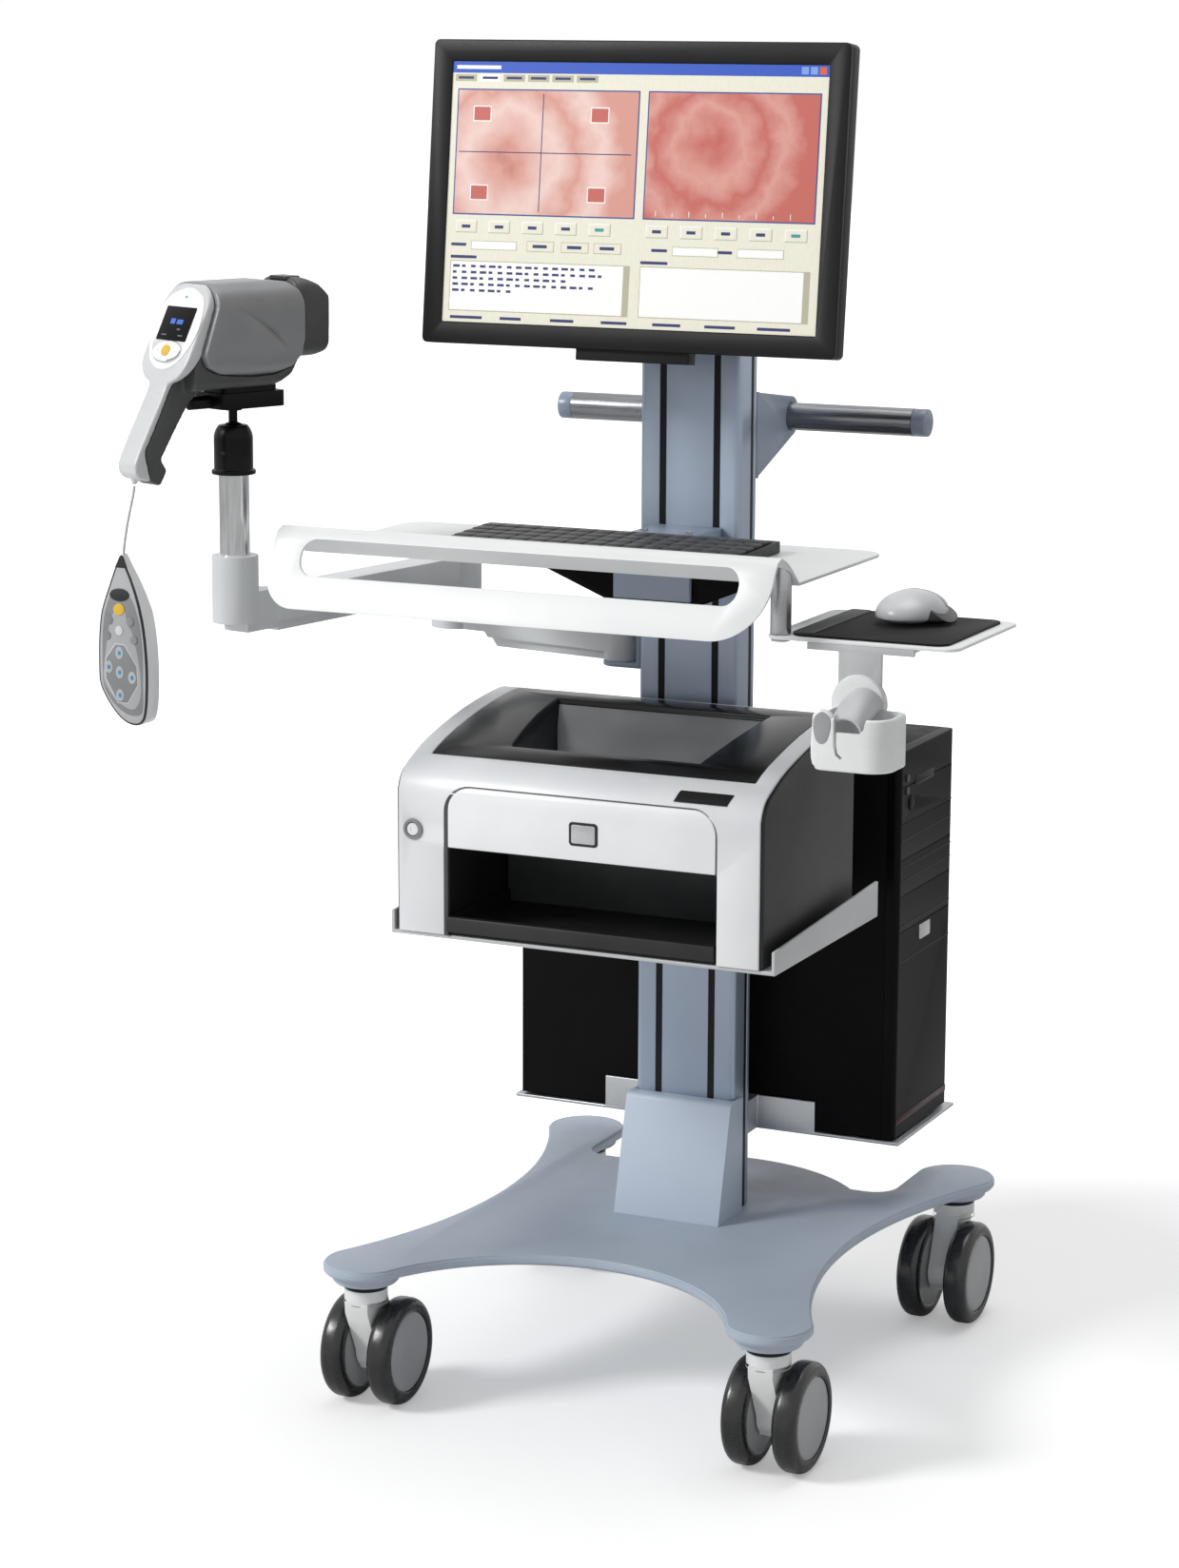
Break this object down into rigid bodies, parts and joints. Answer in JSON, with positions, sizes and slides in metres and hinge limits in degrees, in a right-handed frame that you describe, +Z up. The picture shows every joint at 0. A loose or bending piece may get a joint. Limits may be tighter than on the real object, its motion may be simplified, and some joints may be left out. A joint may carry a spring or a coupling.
{
  "type": "video colposcope on a wheeled stand",
  "caption": "Video colposcope: a camera head with hand remote on a jointed arm, on a castored column stand with monitor, keyboard and mouse trays, printer and computer.",
  "frame": {"origin": "on the floor, under the middle of the column", "axes": "+Z up, -Y towards the operator, +X to the operator's right"},
  "size_m": [0.7588, 0.6458, 1.2394],
  "materials": {
    "base_paint": "satin powder coat, light blue-grey",
    "column_metal": "anodised, blue-grey satin",
    "pale_paint": "satin powder coat, pale blue-white",
    "white_paint": "satin powder coat, white",
    "bracket_paint": "satin powder coat, blue-grey",
    "black_paint": "satin powder coat, black",
    "black_plastic": "fine moulded grain",
    "dark_plastic": "fine moulded grain",
    "grey_plastic": "fine moulded grain",
    "white_plastic": "fine moulded grain",
    "castor_plastic": "moulded nylon, light grey",
    "tread_rubber": "moulded tread",
    "link_paint": "satin enamel, light grey",
    "pole_chrome": "polished",
    "steel": "turned",
    "camera_grey": "satin painted plastic",
    "camera_dark": "fine moulded grain",
    "lens_glass": "coated glass in a black barrel",
    "screen_glass": "lit display",
    "key_yellow": "moulded",
    "remote_silver": "silver painted plastic",
    "cord_jacket": "soft extruded jacket",
    "case_black": "satin enamel",
    "mat_cloth": "knitted top"
  },
  "bodies": {
    "stand": {"base_plate": "base_paint", "castor_mounts": "base_paint", "column": "column_metal", "column_strips": "black_plastic", "column_foot": "pale_paint", "handle_bracket": "bracket_paint", "handle_bar": "steel", "handle_caps": "bracket_paint", "column_head": "black_paint", "tray_bracket": "bracket_paint", "tray_beam": "black_paint", "keyboard_tray": "white_paint", "keyboard_case": "black_plastic", "mouse_post": "steel", "arm_bracket": "bracket_paint", "printer_shelf": "white_paint", "printer_case": "dark_plastic", "printer_cover": "white_plastic", "pc_bracket": "white_paint", "pc_case": "case_black", "pc_front": "black_plastic"},
    "castor_fl": {"castor_housing_fl": "castor_plastic"},
    "wheels_fl": {"castor_wheels_fl": "tread_rubber"},
    "castor_fr": {"castor_housing_fr": "castor_plastic"},
    "wheels_fr": {"castor_wheels_fr": "tread_rubber"},
    "castor_rl": {"castor_housing_rl": "castor_plastic"},
    "wheels_rl": {"castor_wheels_rl": "tread_rubber"},
    "castor_rr": {"castor_housing_rr": "castor_plastic"},
    "wheels_rr": {"castor_wheels_rr": "tread_rubber"},
    "monitor_swivel": {"monitor_yoke": "black_paint"},
    "monitor": {"monitor_back": "black_plastic", "monitor_frame": "black_plastic", "monitor_screen": "screen_glass"},
    "keys": {"keycaps": "dark_plastic"},
    "mouse_tray": {"mouse_tray": "white_paint", "mouse_mat": "mat_cloth", "cradle_hanger": "pale_paint"},
    "cradle": {"cradle_cup": "white_plastic"},
    "mouse": {"mouse": "grey_plastic"},
    "mouse_buttons": {"mouse_button": "grey_plastic"},
    "inner_link": {"arm_inner": "link_paint"},
    "outer_link": {"arm_outer": "link_paint"},
    "pole": {"arm_pole": "pole_chrome", "ball_housing": "black_plastic"},
    "ball": {"ball": "steel"},
    "camera": {"ball_plate": "black_plastic", "camera_shell": "camera_grey", "camera_grip": "camera_dark", "camera_face": "white_plastic", "camera_hood": "camera_dark", "camera_lens": "lens_glass", "camera_display": "screen_glass"},
    "camera_keypad": {"camera_keys": "key_yellow"},
    "remote": {"remote_shell": "remote_silver", "remote_cord": "cord_jacket"},
    "remote_keypad": {"remote_keys": "grey_plastic"},
    "printer_lid": {"printer_lid": "black_plastic"},
    "paper_tray": {"printer_tray": "dark_plastic"},
    "printer_switch": {"printer_button": "white_plastic"},
    "pc_switch": {"pc_button": "grey_plastic"}
  },
  "joints": [
    {"name": "swivel_fl", "type": "hinge", "parent": "stand", "child": "castor_fl", "pos_m": [-0.2, -0.288, 0.105], "axis": [0, 0, 1], "continuous": true},
    {"name": "roll_fl", "type": "hinge", "parent": "castor_fl", "child": "wheels_fl", "pos_m": [-0.2, -0.268, 0.05], "axis": [1, 0, 0], "continuous": true},
    {"name": "swivel_fr", "type": "hinge", "parent": "stand", "child": "castor_fr", "pos_m": [0.2, -0.288, 0.105], "axis": [0, 0, 1], "continuous": true},
    {"name": "roll_fr", "type": "hinge", "parent": "castor_fr", "child": "wheels_fr", "pos_m": [0.2, -0.268, 0.05], "axis": [1, 0, 0], "continuous": true},
    {"name": "swivel_rl", "type": "hinge", "parent": "stand", "child": "castor_rl", "pos_m": [-0.2, 0.192, 0.105], "axis": [0, 0, 1], "continuous": true},
    {"name": "roll_rl", "type": "hinge", "parent": "castor_rl", "child": "wheels_rl", "pos_m": [-0.2, 0.172, 0.05], "axis": [1, 0, 0], "continuous": true},
    {"name": "swivel_rr", "type": "hinge", "parent": "stand", "child": "castor_rr", "pos_m": [0.2, 0.192, 0.105], "axis": [0, 0, 1], "continuous": true},
    {"name": "roll_rr", "type": "hinge", "parent": "castor_rr", "child": "wheels_rr", "pos_m": [0.2, 0.172, 0.05], "axis": [1, 0, 0], "continuous": true},
    {"name": "monitor_turn", "type": "hinge", "parent": "stand", "child": "monitor_swivel", "pos_m": [0, -0.049, 1.1055], "axis": [0, 0, 1], "range_deg": [-20, 20]},
    {"name": "monitor_tilt", "type": "hinge", "parent": "monitor_swivel", "child": "monitor", "pos_m": [0, -0.08413, 1.1055], "axis": [-1, 0, 0], "range_deg": [-5, 15]},
    {"name": "key_press", "type": "slide", "parent": "stand", "child": "keys", "axis": [0, 0, -1], "range_m": [0, 0.0015], "stiffness_N_per_m": 3000},
    {"name": "mouse_tray_swing", "type": "hinge", "parent": "stand", "child": "mouse_tray", "pos_m": [0.2, -0.283, 0.7495], "axis": [0, 0, 1], "range_deg": [-60, 20]},
    {"name": "cradle_turn", "type": "hinge", "parent": "mouse_tray", "child": "cradle", "pos_m": [0.277, -0.296, 0.698], "axis": [0, 1, 0], "range_deg": [-30, 30]},
    {"name": "mouse_move", "type": "slide", "parent": "mouse_tray", "child": "mouse", "axis": [0, -1, 0], "range_m": [0, 0.04]},
    {"name": "mouse_click", "type": "slide", "parent": "mouse", "child": "mouse_buttons", "axis": [0, 0, -1], "range_m": [0, 0.0005], "stiffness_N_per_m": 1500},
    {"name": "arm_shoulder", "type": "hinge", "parent": "stand", "child": "inner_link", "pos_m": [-0.078, 0.004, 0.682], "axis": [0, 0, 1], "range_deg": [-70, 0]},
    {"name": "arm_elbow", "type": "hinge", "parent": "inner_link", "child": "outer_link", "pos_m": [-0.268, 0.036, 0.73], "axis": [0, 0, 1], "range_deg": [-110, 5]},
    {"name": "pole_turn", "type": "hinge", "parent": "outer_link", "child": "pole", "pos_m": [-0.326, -0.29, 0.79], "axis": [0, 0, 1], "range_deg": [-110, 30]},
    {"name": "head_pitch", "type": "hinge", "parent": "pole", "child": "ball", "pos_m": [-0.326, -0.29, 0.89], "axis": [0.9272, -0.3746, 0], "range_deg": [-15, 15]},
    {"name": "head_roll", "type": "hinge", "parent": "ball", "child": "camera", "pos_m": [-0.326, -0.29, 0.89], "axis": [0.3746, 0.9272, 0], "range_deg": [-12, 12]},
    {"name": "camera_key_press", "type": "slide", "parent": "camera", "child": "camera_keypad", "axis": [0.3351, 0.8294, -0.447], "range_m": [0, 0.0007], "stiffness_N_per_m": 1500},
    {"name": "remote_swing", "type": "hinge", "parent": "camera", "child": "remote", "pos_m": [-0.36721, -0.39199, 0.856], "axis": [0.9272, -0.3746, 0], "range_deg": [-20, 20]},
    {"name": "remote_key_press", "type": "slide", "parent": "remote", "child": "remote_keypad", "axis": [0.0175, 0.9998, 0], "range_m": [0, 0.0004], "stiffness_N_per_m": 1500},
    {"name": "printer_lid_hinge", "type": "hinge", "parent": "stand", "child": "printer_lid", "pos_m": [0, -0.046, 0.6376], "axis": [-1, 0, 0], "range_deg": [0, 35]},
    {"name": "paper_tray_slide", "type": "slide", "parent": "stand", "child": "paper_tray", "axis": [0, -1, 0], "range_m": [0, 0.06]},
    {"name": "printer_switch_press", "type": "slide", "parent": "stand", "child": "printer_switch", "axis": [0, 1, 0], "range_m": [0, 0.0015], "stiffness_N_per_m": 1500},
    {"name": "pc_switch_press", "type": "slide", "parent": "stand", "child": "pc_switch", "axis": [-1, 0, 0], "range_m": [0, 0.0015], "stiffness_N_per_m": 1500}
  ]
}
